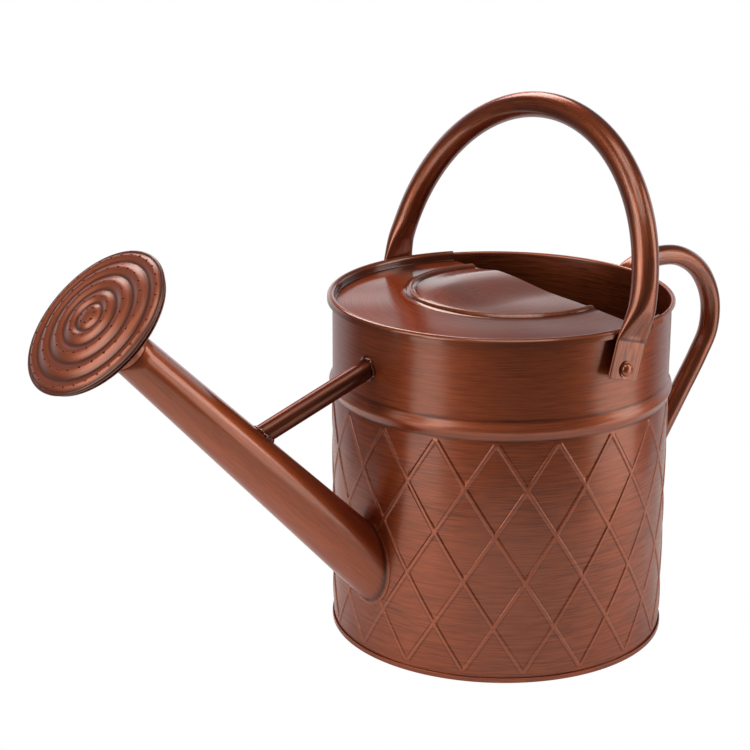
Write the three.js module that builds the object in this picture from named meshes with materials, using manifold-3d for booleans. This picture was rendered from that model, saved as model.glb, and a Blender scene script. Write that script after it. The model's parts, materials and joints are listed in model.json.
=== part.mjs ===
// A copper-finished watering can: a straight round body with a pressed bead, a half-moon cover
// folded over the front of its rolled rim, a long tapered spout held by a brace, a pull-off
// domed rose, a top handle that swings on two rivets, and a fixed rear handle.
// Millimetres, +Z up, +X towards the spout. The origin is the centre of the base, on the
// surface that the can stands on.
import * as THREE from 'three';
import * as BufferGeometryUtils from 'three/addons/utils/BufferGeometryUtils.js';
import Module from 'manifold-3d';

// ---------------------------------------------------------------- driving dimensions
const GAP = 0.3; // clearance between neighbouring pieces
const SHEET = 0.6; // sheet thickness of the body, cover and cones

const BODY_R = 95; // outside radius of the wall
const BODY_BOTTOM = 1.0; // lower edge of the wall, above the base plate
const RIM_TOP = 194.7; // top of the rolled rim
const RIM_CURL_R = 1.3; // outside radius of the rolled rim's section
const BEAD_Z = 144.7; // middle of the pressed bead round the body
const BEAD_HALF = 5; // half height of the bead
const BEAD_OUT = 2; // how far the bead stands out
const ROUND_STEPS = 48; // facets round the body
const CHAMFER = 0.3; // on the sharp outer bends of sheet
const FREE = 10; // how far a cutting body reaches past what it cuts
const OVERLAP = 0.1; // joined bodies share this much

const BASE_FLANGE_TOP = 2.8; // the base plate's edge is turned up round the wall to here
const BASE_RIB_IN = 60; // pressed-up rib under the base
const BASE_RIB_OUT = 80;
const BASE_RIB_UP = 1.5;
const BASE_RIB_SLOPE = 2.5; // width of the rib's sloping sides

const COVER_TOP = 190.4; // upper face of the cover's flat part
const COVER_CHORD_X = -29.9; // where the cover's straight rear edge crosses the X axis
const COVER_CHORD_TURN = -4.6; // the edge is a little askew to the Y axis, degrees
const COVER_LIP_DROP = 4; // height of the folded edge outside the rim
const PANEL_X = -17; // centre of the raised panel pressed into the cover
const PANEL_Y = -11;
const PANEL_R = 58; // radius of the panel's border ridge
const PANEL_RISE = 2.2; // height of the panel's middle above the flat part
const RIDGE_UP = 1.5; // height of the border ridge
const RIDGE_HALF = 2.6; // half width of the border ridge
const PANEL_STEPS = 40; // facets round the panel

const SPOUT_Z = 56.5; // height at which the spout's axis leaves the wall
const SPOUT_ANGLE = 45.2; // the axis above the horizontal, degrees
const SPOUT_ROOT_R = 17; // outside radius of the spout where its axis leaves the wall
const SPOUT_TAPER = 0.028; // loss of radius per millimetre of length
const SPOUT_LENGTH = 209; // from the wall to the tip, along the axis
const SPOUT_STEPS = 28; // facets round the spout and the rose
const SPOUT_HOLE_IN = 2; // the hole in the wall is smaller than the spout by this much

const BRACE_R = 5.5; // outside radius of the brace tube
const BRACE_Z = 168; // height at which the brace's axis meets the wall
const BRACE_FALL = 18.3; // the brace falls by this many degrees towards the spout
const BRACE_REACH = 90; // length of the brace before its ends are shaped
const BRACE_STEPS = 16;

const ROSE_AXIAL = 234.5; // rim plane of the rose, along the spout's axis from the wall
const ROSE_R = 42.3; // outside radius of the rose's rolled rim
const ROSE_DOME = 4.8; // height of the face's dome, without its rings
const ROSE_RING_UP = 1.6; // height of each pressed ring
const ROSE_RIM_R = 1.1; // radius of the rolled rim's section
const ROSE_NECK_IN = 20; // how far the socket's neck goes into the spout
const ROSE_NECK_FREE = 0.4; // clearance round the neck
const ROSE_COLLAR = 7; // length of the socket's collar outside the spout
const ROSE_CUP_DROP = 2.6; // the cup's wide end lies this far below the face's rim plane
// the rings of holes, from the middle outwards: radius and count
const ROSE_RINGS = [
  { radius: 4.4, holes: 7 },
  { radius: 11.6, holes: 12 },
  { radius: 20.8, holes: 16 },
  { radius: 30.1, holes: 25 },
  { radius: 38.6, holes: 34 },
];
const ROSE_HOLE_R = 0.55;

const PIN_Z = 174; // height of the two rivets that the top handle swings on
const PIN_R = 2.3; // radius of a rivet's shank
const PIN_HOLE_R = 2.7;
const PIN_HEAD_R = 4.6;
const PIN_HEAD_UP = 2.5;
const PIN_TAIL_R = 3.8; // the hammered end inside the can
const PIN_TAIL_UP = 1.6;
const SPACER_R = 6; // outside radius of the washer between wall and handle
const BURR_R = 5.5; // outside radius of the washer under the hammered end
const BURR_THICK = 1;
const BURR_OFF = 0.5; // the curved wall keeps a flat washer this far off
const BAIL_TILT = -15.3; // lean of the top handle at rest, degrees: towards the rear handle
const BAIL_TUBE_R = 7.25;
const BAIL_ARCH_R = 101.3; // centre-line radius of the arch
const BAIL_ARCH_UP = 25.7; // the arch's centre above the rivets
const BAIL_LUG_Y = 99.2; // middle plane of the flattened ends
const BAIL_LUG_DOWN = 5.9; // the flattened end runs this far below the rivet
const BAIL_LUG_UP = 14.7; // and this far above it
const BAIL_BLEND_UP = 34; // here the leg has met the arch
const BAIL_ROUND_UP = 47; // here the tube is fully round
const BAIL_WALL = 0.75;
const BAIL_SIDES = 12;
const BAIL_ARCH_STEPS = 24;
const LUG_HALF_THICK = 0.95; // half thickness of the flattened ends

const REAR_TUBE_R = 6;
const REAR_WALL = 0.7;
const REAR_TAB_HALF_THICK = 0.85;
const REAR_STEPS = 32; // stations along the rear handle
const REAR_SIDES = 12;
// centre line of the rear handle, from its upper tab to its lower one: distance behind the
// can's axis, height, and how round the tube is there (0 flattened, 1 round)
const REAR_ROUTE = [
  [96.35, 168, 0],
  [96.5, 185, 0],
  [98.8, 190.2, 0.1],
  [104.2, 193.9, 0.45],
  [119, 196.6, 1],
  [141, 194.4, 1],
  [160, 182.6, 1],
  [170.8, 163.5, 1],
  [170.9, 144.2, 1],
  [162.5, 128.5, 1],
  [147.6, 107.2, 1],
  [128, 79.2, 1],
  [103, 43.2, 0.5],
  [96.6, 30, 0],
  [96.35, 16, 0],
];

// ---------------------------------------------------------------- colours
const COPPER = new THREE.MeshStandardMaterial({ color: 0x96503a, roughness: 0.38, metalness: 0.9 });
const COPPER_DARK = new THREE.MeshStandardMaterial({
  color: 0x7c4030,
  roughness: 0.42,
  metalness: 0.9,
});
const COPPER_PINK = new THREE.MeshStandardMaterial({
  color: 0xa86048,
  roughness: 0.34,
  metalness: 0.9,
});

// ---------------------------------------------------------------- solids
const wasm = await Module();
wasm.setup();

const DEG = Math.PI / 180;

// Volume enclosed by an indexed triangle mesh, negative when its faces point inwards.
function signedVolume(positions, triangles) {
  const corner = [new THREE.Vector3(), new THREE.Vector3(), new THREE.Vector3()];
  let total = 0;
  for (let i = 0; i < triangles.length; i += 3) {
    corner.forEach((point, k) => point.fromArray(positions, triangles[i + k] * 3));
    total += corner[0].dot(corner[1].cross(corner[2])) / 6;
  }
  return total;
}

// A closed three.js geometry as a solid that can be cut and joined.
function solid(geometry) {
  geometry.deleteAttribute('normal');
  geometry.deleteAttribute('uv');
  const merged = BufferGeometryUtils.mergeVertices(geometry, 1e-4);
  const positions = merged.attributes.position.array;
  const kept = [];
  for (let i = 0; i < merged.index.count; i += 3) {
    const [a, b, c] = [0, 1, 2].map((k) => merged.index.getX(i + k));
    if (a !== b && b !== c && c !== a) kept.push(a, b, c);
  }
  if (signedVolume(positions, kept) < 0) kept.reverse();
  return new wasm.Manifold(
    new wasm.Mesh({ numProp: 3, vertProperties: positions, triVerts: new Uint32Array(kept) })
  );
}

// A solid as a named mesh.
function piece(name, body, material) {
  const { vertProperties, triVerts } = body.getMesh();
  const geometry = new THREE.BufferGeometry();
  geometry.setAttribute('position', new THREE.BufferAttribute(vertProperties, 3));
  geometry.setIndex(new THREE.BufferAttribute(triVerts, 1));
  geometry.computeVertexNormals();
  const mesh = new THREE.Mesh(geometry, material);
  mesh.name = name;
  return mesh;
}

// A profile of [radius, height] points turned about Z. It starts and ends on the axis, or is
// closed by repeating its first point.
function turned(profile, steps) {
  const points = profile.map(([radius, height]) => new THREE.Vector2(radius, height));
  return new THREE.LatheGeometry(points, steps).rotateX(Math.PI / 2);
}

function closedProfile(points) {
  return [...points, points[0]];
}

// The profile of a plain ring or straight tube.
function washer(inner, outer, from, to) {
  return closedProfile([
    [inner, from],
    [outer, from],
    [outer, to],
    [inner, to],
  ]);
}

// Points of an arc about (cx, cy) from one angle to another, in degrees.
function arc(cx, cy, radius, from, to, steps) {
  const points = [];
  for (let i = 0; i <= steps; i++) {
    const angle = (from + ((to - from) * i) / steps) * DEG;
    points.push([cx + radius * Math.cos(angle), cy + radius * Math.sin(angle)]);
  }
  return points;
}

function smoothstep(value) {
  const t = Math.min(1, Math.max(0, value));
  return t * t * (3 - 2 * t);
}

// A round bar along Y at height z, to drill both sides of the can at once.
function barAlongY(radius, halfLength, z) {
  const bar = new THREE.CylinderGeometry(radius, radius, 2 * halfLength, 24);
  return solid(bar.translate(0, 0, z));
}

// A thin tube whose centre line and section change along its length. A straight tube is turned
// first, and each of its vertices is then carried to its station. A station has a centre, two
// unit directions across the tube, and the tube's half width and half thickness along them.
function formedTube(stations, wall, sides) {
  const last = stations.length - 1;
  const outer = stations.map((_, i) => [2, i]);
  const inner = stations.map((_, i) => [1, last - i]);
  const geometry = turned(closedProfile([...outer, ...inner]), sides);
  const position = geometry.attributes.position;
  const point = new THREE.Vector3();
  for (let i = 0; i < position.count; i++) {
    point.fromBufferAttribute(position, i);
    const station = stations[Math.round(point.z)];
    const isInner = Math.hypot(point.x, point.y) < 1.5;
    const angle = Math.atan2(point.y, point.x);
    const flatness = 1 - station.halfThick / station.halfWidth;
    const power = 1 - 0.55 * flatness;
    const across = isInner ? station.halfWidth - wall : station.halfWidth;
    const through = isInner ? Math.max(station.halfThick - wall, 0.2) : station.halfThick;
    const cos = Math.cos(angle);
    const sin = Math.sin(angle);
    point.copy(station.centre);
    point.addScaledVector(station.wide, across * Math.sign(cos) * Math.abs(cos) ** power);
    point.addScaledVector(station.thin, through * Math.sign(sin) * Math.abs(sin) ** power);
    position.setXYZ(i, point.x, point.y, point.z);
  }
  return solid(geometry);
}

// Half width of a round tube once it is squeezed to a given half thickness: its girth stays.
function squeezedHalfWidth(radius, halfThick) {
  return halfThick + (Math.PI / 2) * (radius - halfThick);
}

// ---------------------------------------------------------------- body and base
function bodyShell() {
  const inside = BODY_R - SHEET;
  const curlX = inside + RIM_CURL_R;
  const curlZ = RIM_TOP - RIM_CURL_R;
  const beadCurve = (offset) =>
    arc(0, 0, 1, -90, 90, 4).map(([out, along]) => [
      BODY_R - offset + BEAD_OUT * out ** 1.3,
      BEAD_Z + BEAD_HALF * along,
    ]);
  const outer = [
    [BODY_R, BODY_BOTTOM],
    ...beadCurve(0),
    [BODY_R, curlZ],
    ...arc(curlX, curlZ, RIM_CURL_R - SHEET, 180, -110, 4).slice(1),
  ];
  const inner = [
    ...arc(curlX, curlZ, RIM_CURL_R, -110, 180, 6),
    ...beadCurve(SHEET).reverse(),
    [inside, BODY_BOTTOM],
  ];
  let wall = solid(turned(closedProfile([...outer, ...inner]), ROUND_STEPS));
  wall = wall.subtract(barAlongY(PIN_HOLE_R, BODY_R + FREE, PIN_Z));
  return wall.subtract(spoutBore());
}

function basePlate() {
  const edge = BODY_R + GAP;
  const rib = [
    [BASE_RIB_IN, 0],
    [BASE_RIB_IN + BASE_RIB_SLOPE, BASE_RIB_UP],
    [BASE_RIB_OUT - BASE_RIB_SLOPE, BASE_RIB_UP],
    [BASE_RIB_OUT, 0],
  ];
  const profile = [
    [0, 0],
    ...rib,
    [edge + SHEET - CHAMFER, 0],
    [edge + SHEET, CHAMFER],
    [edge + SHEET, BASE_FLANGE_TOP],
    [edge, BASE_FLANGE_TOP],
    [edge, SHEET],
    ...rib.map(([radius, height]) => [radius, height + SHEET]).reverse(),
    [0, SHEET],
  ];
  return solid(turned(profile, ROUND_STEPS));
}

// ---------------------------------------------------------------- cover
// The panel's upper surface: a flat cone inside, a rounded ridge round it.
function panelHeight(radius) {
  const fromRidge = Math.abs(radius - PANEL_R) / RIDGE_HALF;
  const ridge = fromRidge < 1 ? RIDGE_UP * Math.cos((fromRidge * Math.PI) / 2) ** 2 : 0;
  const middle = PANEL_RISE * (1 - smoothstep(radius / (PANEL_R - 0.5 * RIDGE_HALF)));
  return ridge + middle;
}

function topCover() {
  const lipIn = BODY_R - SHEET - GAP - SHEET; // inner face of the upright lip
  const lipOut = lipIn + SHEET;
  const foldTop = RIM_TOP + GAP;
  const foldIn = BODY_R - SHEET + 2 * RIM_CURL_R + GAP; // folded edge, outside the curl
  const foldLow = foldTop + SHEET - COVER_LIP_DROP;
  const underside = COVER_TOP - SHEET;
  const sheet = [
    [0, underside],
    [lipOut - CHAMFER, underside],
    [lipOut, underside + CHAMFER],
    [lipOut, foldTop],
    [foldIn, foldTop],
    [foldIn, foldLow],
    [foldIn + SHEET, foldLow],
    [foldIn + SHEET, foldTop],
    [foldIn, foldTop + SHEET],
    [lipOut, foldTop + SHEET],
    [lipIn, foldTop],
    [lipIn, COVER_TOP],
    [0, COVER_TOP],
  ];
  const edgeR = PANEL_R + RIDGE_HALF;
  const inside = PANEL_R - RIDGE_HALF;
  const crest = 0.4 * RIDGE_HALF; // half width of the ridge's top facet
  const radii = [0, 0.3 * inside, 0.6 * inside, inside, PANEL_R - crest, PANEL_R + crest, edgeR];
  const upper = radii.map((radius) => [radius, COVER_TOP + panelHeight(radius)]);
  const lower = upper.map(([radius, height]) => [radius, height - SHEET]).reverse();
  const panel = solid(turned([...upper, ...lower], PANEL_STEPS)).translate([PANEL_X, PANEL_Y, 0]);
  const openingR = edgeR - OVERLAP;
  const opening = solid(
    new THREE.CylinderGeometry(openingR, openingR, FREE, PANEL_STEPS)
      .rotateX(Math.PI / 2)
      .translate(PANEL_X, PANEL_Y, COVER_TOP)
  );
  const span = 2 * (BODY_R + FREE);
  const infront = solid(
    new THREE.BoxGeometry(span, 1.5 * span, 2 * FREE)
      .translate(span / 2, 0, COVER_TOP)
      .rotateZ(COVER_CHORD_TURN * DEG)
      .translate(COVER_CHORD_X, 0, 0)
  );
  const whole = solid(turned(sheet, ROUND_STEPS)).subtract(opening).add(panel);
  return whole.intersect(infront);
}

// ---------------------------------------------------------------- spout, brace and rose
// Carries a solid from the spout's own axis (+Z from the wall to the tip) to the can.
function onSpoutAxis(body) {
  return body.rotate([0, 90 - SPOUT_ANGLE, 0]).translate([BODY_R, 0, SPOUT_Z]);
}

function spoutRadius(along) {
  return SPOUT_ROOT_R - SPOUT_TAPER * along;
}

// The spout's outline as a solid cone, larger than the spout by a given amount all round.
function spoutCone(from, to, grow) {
  const profile = [
    [0, from],
    [spoutRadius(from) + grow, from],
    [spoutRadius(to) + grow, to],
    [0, to],
  ];
  return onSpoutAxis(solid(turned(profile, SPOUT_STEPS)));
}

// The hole in the wall that the spout stands over.
function spoutBore() {
  return spoutCone(-2 * SPOUT_ROOT_R, 2 * SPOUT_ROOT_R, -SPOUT_HOLE_IN);
}

// The body's outline with its clearance. It shapes the ends of the tubes that meet the wall.
function bodyCore() {
  const radius = BODY_R + GAP;
  const core = new THREE.CylinderGeometry(radius, radius, 2 * RIM_TOP, 2 * ROUND_STEPS);
  return solid(core.rotateX(Math.PI / 2));
}

function spoutTube() {
  const from = -2 * SPOUT_ROOT_R;
  const profile = closedProfile([
    [spoutRadius(from), from],
    [spoutRadius(SPOUT_LENGTH), SPOUT_LENGTH],
    [spoutRadius(SPOUT_LENGTH) - SHEET, SPOUT_LENGTH],
    [spoutRadius(from) - SHEET, from],
  ]);
  return onSpoutAxis(solid(turned(profile, SPOUT_STEPS))).subtract(bodyCore());
}

function spoutBrace() {
  const tube = solid(turned(washer(BRACE_R - SHEET, BRACE_R, -FREE, BRACE_REACH), BRACE_STEPS));
  const placed = tube.rotate([0, 90 + BRACE_FALL, 0]).translate([BODY_R, 0, BRACE_Z]);
  const shaped = placed.subtract(bodyCore()).subtract(spoutCone(0, SPOUT_LENGTH, GAP));
  const nearness = (part) => part.boundingBox().min[0];
  // what is left of the tube beyond the spout is dropped
  return shaped.decompose().sort((a, b) => nearness(a) - nearness(b))[0];
}

// The rose's face: a shallow dome with a pressed ring under each circle of holes. Each point is
// the crest of a ring or the valley beside it.
function roseProfile() {
  const dome = (radius) => ROSE_DOME * (1 - (radius / ROSE_R) ** 2);
  const points = [[0, dome(0) + ROSE_RING_UP]];
  ROSE_RINGS.forEach(({ radius }, i) => {
    const next = i + 1 < ROSE_RINGS.length ? ROSE_RINGS[i + 1].radius : ROSE_R;
    const valley = (radius + next) / 2;
    points.push([radius, dome(radius) + ROSE_RING_UP], [valley, dome(valley)]);
  });
  return points;
}

function roseFace() {
  const upper = roseProfile();
  const rim = arc(ROSE_R - ROSE_RIM_R, 0, ROSE_RIM_R, 60, -60, 3);
  const lower = upper.map(([radius, height]) => [radius, height - SHEET]).reverse();
  let face = solid(turned([...upper, ...rim, ...lower], SPOUT_STEPS));
  ROSE_RINGS.forEach(({ radius, holes }) => {
    for (let i = 0; i < holes; i++) {
      const angle = (2 * Math.PI * i) / holes;
      const drill = new THREE.CylinderGeometry(ROSE_HOLE_R, ROSE_HOLE_R, 2 * FREE, 4)
        .rotateX(Math.PI / 2)
        .translate(radius * Math.cos(angle), radius * Math.sin(angle), 0);
      face = face.subtract(solid(drill));
    }
  });
  return onSpoutAxis(face.translate([0, 0, ROSE_AXIAL]));
}

const COLLAR_R = spoutRadius(SPOUT_LENGTH);
const COLLAR_FROM = SPOUT_LENGTH + GAP;
const COLLAR_TO = COLLAR_FROM + ROSE_COLLAR;

// The rose's socket: a neck inside the spout's tip and a collar as wide as the tip.
function roseSocket() {
  const neckR = COLLAR_R - SHEET - ROSE_NECK_FREE;
  const neckFrom = SPOUT_LENGTH - ROSE_NECK_IN;
  const profile = closedProfile([
    [neckR, neckFrom],
    [neckR, COLLAR_FROM],
    [COLLAR_R, COLLAR_FROM],
    [COLLAR_R, COLLAR_TO],
    [COLLAR_R - SHEET, COLLAR_TO],
    [COLLAR_R - SHEET, COLLAR_FROM + SHEET],
    [neckR - SHEET, COLLAR_FROM + SHEET],
    [neckR - SHEET, neckFrom],
  ]);
  return onSpoutAxis(solid(turned(profile, SPOUT_STEPS)));
}

// The shallow funnel between the socket and the face.
function roseCup() {
  const from = COLLAR_TO + GAP;
  const wideAt = ROSE_AXIAL - ROSE_CUP_DROP;
  const wideR = ROSE_R - 1.5 * ROSE_RIM_R;
  const profile = closedProfile([
    [COLLAR_R, from],
    [wideR, wideAt - SHEET],
    [wideR, wideAt],
    [wideR - SHEET, wideAt],
    [COLLAR_R - SHEET, from + SHEET],
    [COLLAR_R - SHEET, from],
  ]);
  return onSpoutAxis(solid(turned(profile, SPOUT_STEPS)));
}

// ---------------------------------------------------------------- top handle and its rivets
function bailStations() {
  const stations = [];
  const add = (y, up, along) => {
    const rounding = smoothstep((up - BAIL_LUG_UP) / (BAIL_ROUND_UP - BAIL_LUG_UP));
    const halfThick = LUG_HALF_THICK + (BAIL_TUBE_R - LUG_HALF_THICK) * rounding;
    stations.push({
      centre: new THREE.Vector3(0, y, up),
      wide: new THREE.Vector3(1, 0, 0),
      thin: new THREE.Vector3(0, along.z, -along.y),
      halfWidth: squeezedHalfWidth(BAIL_TUBE_R, halfThick),
      halfThick,
    });
  };
  const legHeights = [-BAIL_LUG_DOWN, 0, 7, BAIL_LUG_UP, 18, 21, 24, 27, 30];
  const legY = (up) => {
    const arcY = Math.sqrt(BAIL_ARCH_R ** 2 - (BAIL_BLEND_UP - BAIL_ARCH_UP) ** 2);
    const blend = smoothstep((up - BAIL_LUG_UP) / (BAIL_BLEND_UP - BAIL_LUG_UP));
    return BAIL_LUG_Y + (arcY - BAIL_LUG_Y) * blend;
  };
  const upwards = new THREE.Vector3(0, 0, 1);
  const downwards = new THREE.Vector3(0, 0, -1);
  legHeights.forEach((up) => add(legY(up), up, upwards));
  const start = Math.asin((BAIL_BLEND_UP - BAIL_ARCH_UP) / BAIL_ARCH_R);
  for (let i = 0; i <= BAIL_ARCH_STEPS; i++) {
    const angle = start + ((Math.PI - 2 * start) * i) / BAIL_ARCH_STEPS;
    const along = new THREE.Vector3(0, -Math.sin(angle), Math.cos(angle));
    add(BAIL_ARCH_R * Math.cos(angle), BAIL_ARCH_UP + BAIL_ARCH_R * Math.sin(angle), along);
  }
  [...legHeights].reverse().forEach((up) => add(-legY(up), up, downwards));
  return stations;
}

function topHandle() {
  const tube = formedTube(bailStations(), BAIL_WALL, BAIL_SIDES);
  const drilled = tube.subtract(barAlongY(PIN_HOLE_R, BAIL_LUG_Y + FREE, 0));
  return drilled.rotate([0, BAIL_TILT, 0]).translate([0, 0, PIN_Z]);
}

// A turned profile of [radius, distance from the can's axis], laid along +Y or -Y at the rivets.
function atPin(profile, side) {
  const body = solid(turned(profile, 16));
  return body.rotate([side > 0 ? -90 : 90, 0, 0]).translate([0, 0, PIN_Z]);
}

// where the pieces on a rivet begin and end, from the can's axis outwards
const BURR_TO = BODY_R - SHEET - BURR_OFF;
const BURR_FROM = BURR_TO - BURR_THICK;
const TAIL_FROM = BURR_FROM - GAP;
const SPACER_FROM = BODY_R + GAP;
const SPACER_TO = BAIL_LUG_Y - LUG_HALF_THICK - GAP;
const HEAD_FROM = BAIL_LUG_Y + LUG_HALF_THICK + GAP;

// A rivet: a hammered end inside the can, a shank, and a domed head outside the handle.
function rivetProfile() {
  const dome = (radius, height, from) =>
    arc(0, 0, 1, 0, 90, 3).map(([out, up]) => [radius * out, from + height * up]);
  const tail = dome(PIN_TAIL_R, -PIN_TAIL_UP, TAIL_FROM).reverse();
  const head = dome(PIN_HEAD_R, PIN_HEAD_UP, HEAD_FROM);
  const shank = [
    [PIN_R, TAIL_FROM],
    [PIN_R, HEAD_FROM],
  ];
  const profile = [...tail, ...shank, ...head];
  profile[0][0] = 0;
  profile[profile.length - 1][0] = 0;
  return profile;
}

// ---------------------------------------------------------------- rear handle
function rearHandle() {
  const route = new THREE.CatmullRomCurve3(
    REAR_ROUTE.map(([back, up]) => new THREE.Vector3(-back, 0, up)),
    false,
    'centripetal'
  );
  const spans = REAR_ROUTE.length - 1;
  const stations = [];
  for (let i = 0; i <= REAR_STEPS; i++) {
    const t = i / REAR_STEPS;
    const along = route.getTangent(t);
    const index = Math.min(Math.floor(t * spans), spans - 1);
    const blend = t * spans - index;
    const roundness = REAR_ROUTE[index][2] * (1 - blend) + REAR_ROUTE[index + 1][2] * blend;
    const halfThick = REAR_TAB_HALF_THICK + (REAR_TUBE_R - REAR_TAB_HALF_THICK) * roundness;
    stations.push({
      centre: route.getPoint(t),
      wide: new THREE.Vector3(0, 1, 0),
      thin: new THREE.Vector3(-along.z, 0, along.x),
      halfWidth: squeezedHalfWidth(REAR_TUBE_R, halfThick),
      halfThick,
    });
  }
  return formedTube(stations, REAR_WALL, REAR_SIDES);
}

// ---------------------------------------------------------------- the can
const wateringCan = new THREE.Group();
wateringCan.add(
  piece('body_shell', bodyShell(), COPPER),
  piece('base_plate', basePlate(), COPPER_DARK),
  piece('top_cover', topCover(), COPPER_PINK),
  piece('spout_tube', spoutTube(), COPPER),
  piece('spout_brace', spoutBrace(), COPPER_DARK),
  piece('rose_face', roseFace(), COPPER_PINK),
  piece('rose_cup', roseCup(), COPPER),
  piece('rose_socket', roseSocket(), COPPER),
  piece('top_handle', topHandle(), COPPER),
  piece('rear_handle', rearHandle(), COPPER)
);

const spacer = washer(PIN_HOLE_R, SPACER_R, SPACER_FROM, SPACER_TO);
const burr = washer(PIN_HOLE_R, BURR_R, BURR_FROM, BURR_TO);
[
  ['left', 1],
  ['right', -1],
].forEach(([name, side]) => {
  wateringCan.add(
    piece(`handle_rivet_${name}`, atPin(rivetProfile(), side), COPPER_PINK),
    piece(`handle_spacer_${name}`, atPin(spacer, side), COPPER_DARK),
    piece(`rivet_burr_${name}`, atPin(burr, side), COPPER_DARK)
  );
});

export default wateringCan;
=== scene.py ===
"""The looks of a copper-finished watering can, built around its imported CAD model.

Every shape is worked out in millimetres, with +Z up and +X towards the spout, and becomes metres
when its mesh is made. Each CAD node is replaced by a finely made piece of the same size.
"""

import json
import math

import bmesh
import bpy
import numpy as np
from mathutils import Matrix, Vector, noise


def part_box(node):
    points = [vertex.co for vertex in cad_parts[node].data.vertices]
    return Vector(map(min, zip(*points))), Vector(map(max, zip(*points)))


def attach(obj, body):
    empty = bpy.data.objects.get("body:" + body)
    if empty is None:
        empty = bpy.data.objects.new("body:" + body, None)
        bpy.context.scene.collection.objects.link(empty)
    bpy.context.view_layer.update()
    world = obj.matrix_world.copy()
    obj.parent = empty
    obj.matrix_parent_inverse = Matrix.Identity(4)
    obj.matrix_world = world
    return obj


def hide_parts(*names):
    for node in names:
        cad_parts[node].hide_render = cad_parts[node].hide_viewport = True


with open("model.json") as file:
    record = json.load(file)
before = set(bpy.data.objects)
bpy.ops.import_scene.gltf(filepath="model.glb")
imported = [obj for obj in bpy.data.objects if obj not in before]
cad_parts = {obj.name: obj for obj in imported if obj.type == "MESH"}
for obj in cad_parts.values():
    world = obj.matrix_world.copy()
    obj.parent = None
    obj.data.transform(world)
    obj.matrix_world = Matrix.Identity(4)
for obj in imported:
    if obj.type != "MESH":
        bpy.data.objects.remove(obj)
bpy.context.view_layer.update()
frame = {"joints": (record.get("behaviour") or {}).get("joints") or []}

# ---------- sizes, in millimetres
MM = 0.001


def node_box(node):
    """Lowest and highest corner of a CAD node."""
    return [np.array(corner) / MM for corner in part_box(node)]


def joint(name):
    return next(item for item in frame["joints"] if item["name"] == name)


SHEET = 0.6  # sheet thickness
GAP = 0.3  # clearance between neighbouring pieces

BEAD_OUT = 2.0  # the bead stands out from the wall by this much
BEAD_HALF = 5.5
BODY_LOW, BODY_HIGH = node_box("body_shell")
BODY_R = BODY_HIGH[0] - BEAD_OUT
BODY_BOTTOM = BODY_LOW[2]
RIM_TOP = BODY_HIGH[2]
RIM_CURL_R = 1.3
RIM_Z = RIM_TOP - RIM_CURL_R  # centre of the rolled rim
RIM_R = BODY_R - SHEET + RIM_CURL_R
BEAD_Z = RIM_TOP - 50

INSIDE_SHADE = -0.6  # painted shade: the inside is painted darker
RIM_WEAR = 0.25

LATTICE_ROUND = 18  # diamonds round the can
LATTICE_TOP = BEAD_Z - 6.7
LATTICE_STEP = 26.56  # height of half a diamond
LATTICE_ROWS = 5  # half diamonds from top to bottom
LATTICE_PHASE = 8.0  # angle of one top corner, degrees
LATTICE_LOW = LATTICE_TOP - LATTICE_ROWS * LATTICE_STEP
PITCH = 360 / LATTICE_ROUND
RIDGE_HALF = 1.35  # from a ridge's middle to its foot
RIDGE_SIDE = 0.6  # width of its slope, beside a flat top
RIDGE_UP = 0.5
PILLOW_UP = 0.2  # each diamond is slightly cushioned
RIDGE_COLUMNS = (0, 0.55, 0.95, 1.28, 1.6, 2.1)  # mesh columns beside a ridge, from its middle
GAP_COLUMNS = 14  # mesh columns from one ridge to the next

COVER_TOP = node_box("top_cover")[0][2] + SHEET
CHORD_X = -29.9  # where the cover's straight edge crosses the X axis
CHORD_TURN = math.radians(4.6)  # that edge is a little askew
PANEL = np.array((-17.0, -11.0))  # centre of the raised panel
PANEL_R = 57.5
BORDER_HALF = 2.8
BORDER_UP = 2.0
BORDER_GROOVE = 0.9  # depth of the groove along its crest
CROWN_UP = 1.3
COVER_WAVE_UP = 0.12  # unevenness of its sheet
PANEL_DOME_UP = 2.4
PANEL_FLANK = 24.0  # the dome falls to the border over this distance
DOME_FROM, DOME_TO = -38.0, 14.0  # the dome fades out towards the near side
FOLD_R = RIM_CURL_R + GAP + SHEET / 2  # its sheet is folded round the rolled rim
FOLD_DOWN = 1.9  # the fold ends this far below the rolled rim's centre
FOLD_END_FROM, FOLD_END_TO = 104.3, 111.5  # angles of the fold past the straight edge

SPOUT_AXIS = np.array(joint("rose_pull_off")["axis"])
SPOUT_START = np.array((BODY_R, 0, 56.5))
SPOUT_ROOT_R = 17.0
SPOUT_TAPER = 0.028
SPOUT_LENGTH = 209.0

BRACE_R = 5.5
BRACE_START = np.array((BODY_R, 0, 168.0))
BRACE_FALL = math.radians(18.3)

ROSE_AXIAL = 234.5  # rim plane of the rose along the spout's axis
ROSE_R = 42.3
ROSE_RIM_R = 1.1
ROSE_DOME = 4.8
ROSE_RING_UP = 1.35
ROSE_BUTTON_UP = 0.5
ROSE_RINGS = ((4.4, 7), (11.6, 12), (20.8, 16), (30.1, 25), (38.6, 34))  # radius, holes
ROSE_HOLE_R = 0.62
COLLAR_LENGTH = 7.0
NECK_LENGTH = 20.0

HINGE_Z = joint("top_handle_swing")["pos_m"][2] / MM
BAIL_TILT = math.radians(-15.3)
BAIL_TUBE_R = 7.25
BAIL_ARCH_R = 101.3
BAIL_ARCH_UP = 25.7
BAIL_BLEND_UP = 34.0
BAIL_ROUND_UP = 47.0
LUG_Y = 99.2
LUG_DOWN = 5.9
LUG_UP = 14.7
LUG_HALF_THICK = 0.95
DENT_DEEP, DENT_WIDE = 1.1, 0.75  # dent over the lug: depth, and width as a share of the tube's
END_ROUND = 0.3  # edges of a handle's flat ends

REAR_TUBE_R = 6.0
REAR_TAB_HALF_THICK = 0.85
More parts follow.
